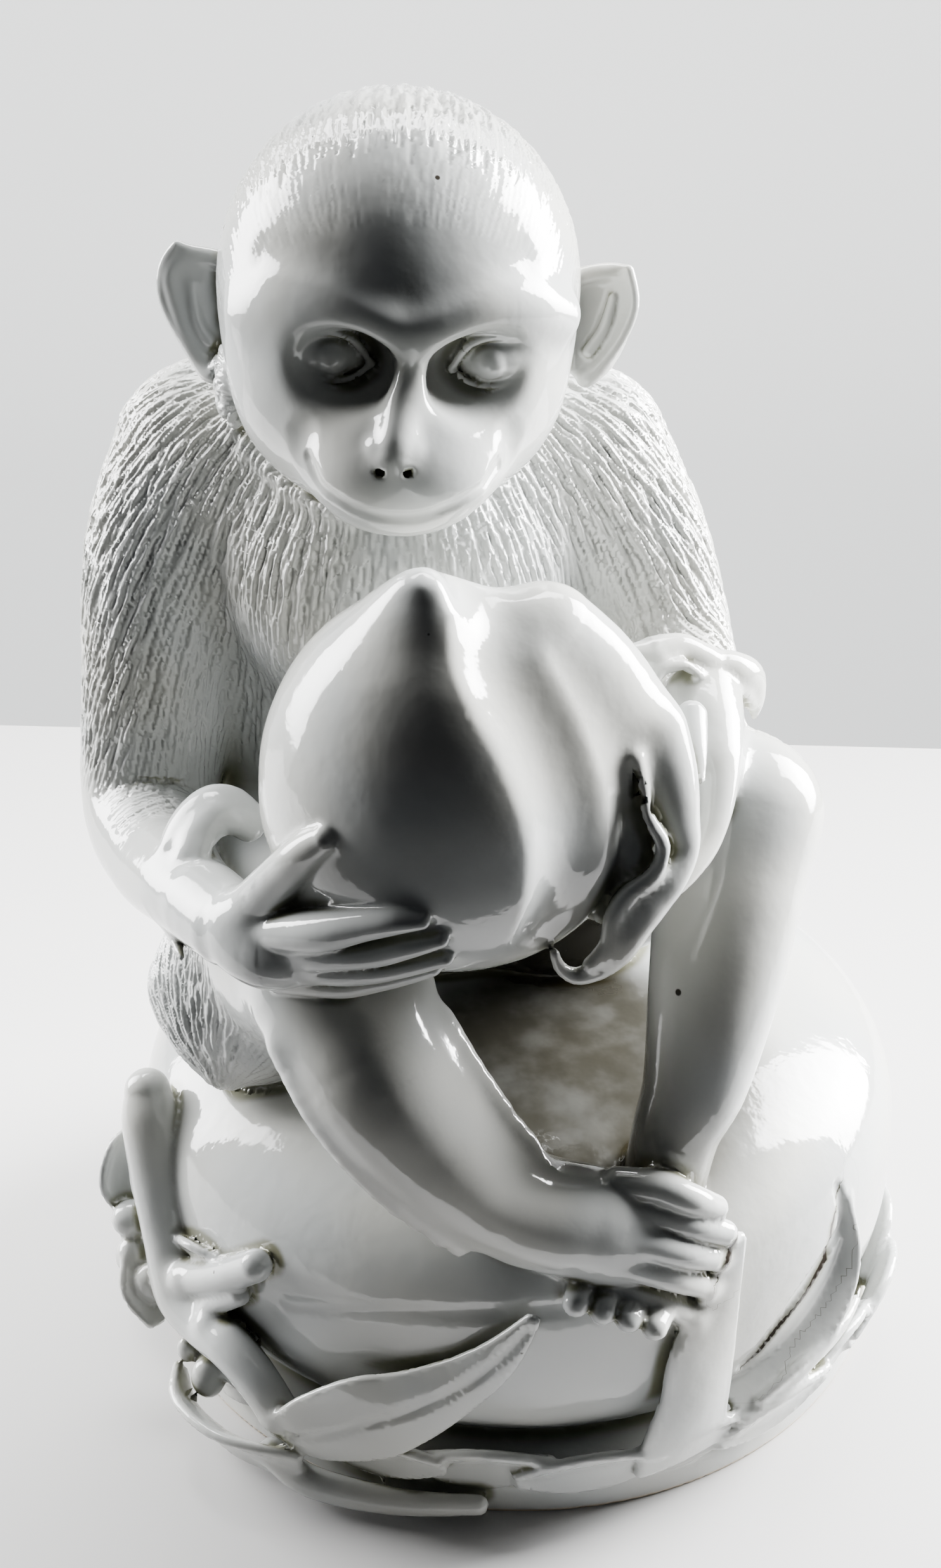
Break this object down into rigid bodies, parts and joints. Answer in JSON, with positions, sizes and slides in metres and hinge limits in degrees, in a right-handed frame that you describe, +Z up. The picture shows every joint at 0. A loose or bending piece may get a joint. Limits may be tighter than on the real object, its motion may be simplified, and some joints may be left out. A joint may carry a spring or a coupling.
{
  "type": "porcelain monkey figure",
  "caption": "Glazed white porcelain monkey that sits on a large peach and holds a smaller one, with a branch and leaves round the foot.",
  "frame": {"origin": "middle of the round foot, on its flat underside", "axes": "+Z up, -Y the way the monkey faces, +X to its left hand"},
  "size_m": [0.2168, 0.2232, 0.3297],
  "materials": {
    "porcelain": "glossy clear glaze on white porcelain"
  },
  "bodies": {
    "root": {"monkey_figure": "porcelain"}
  },
  "joints": []
}
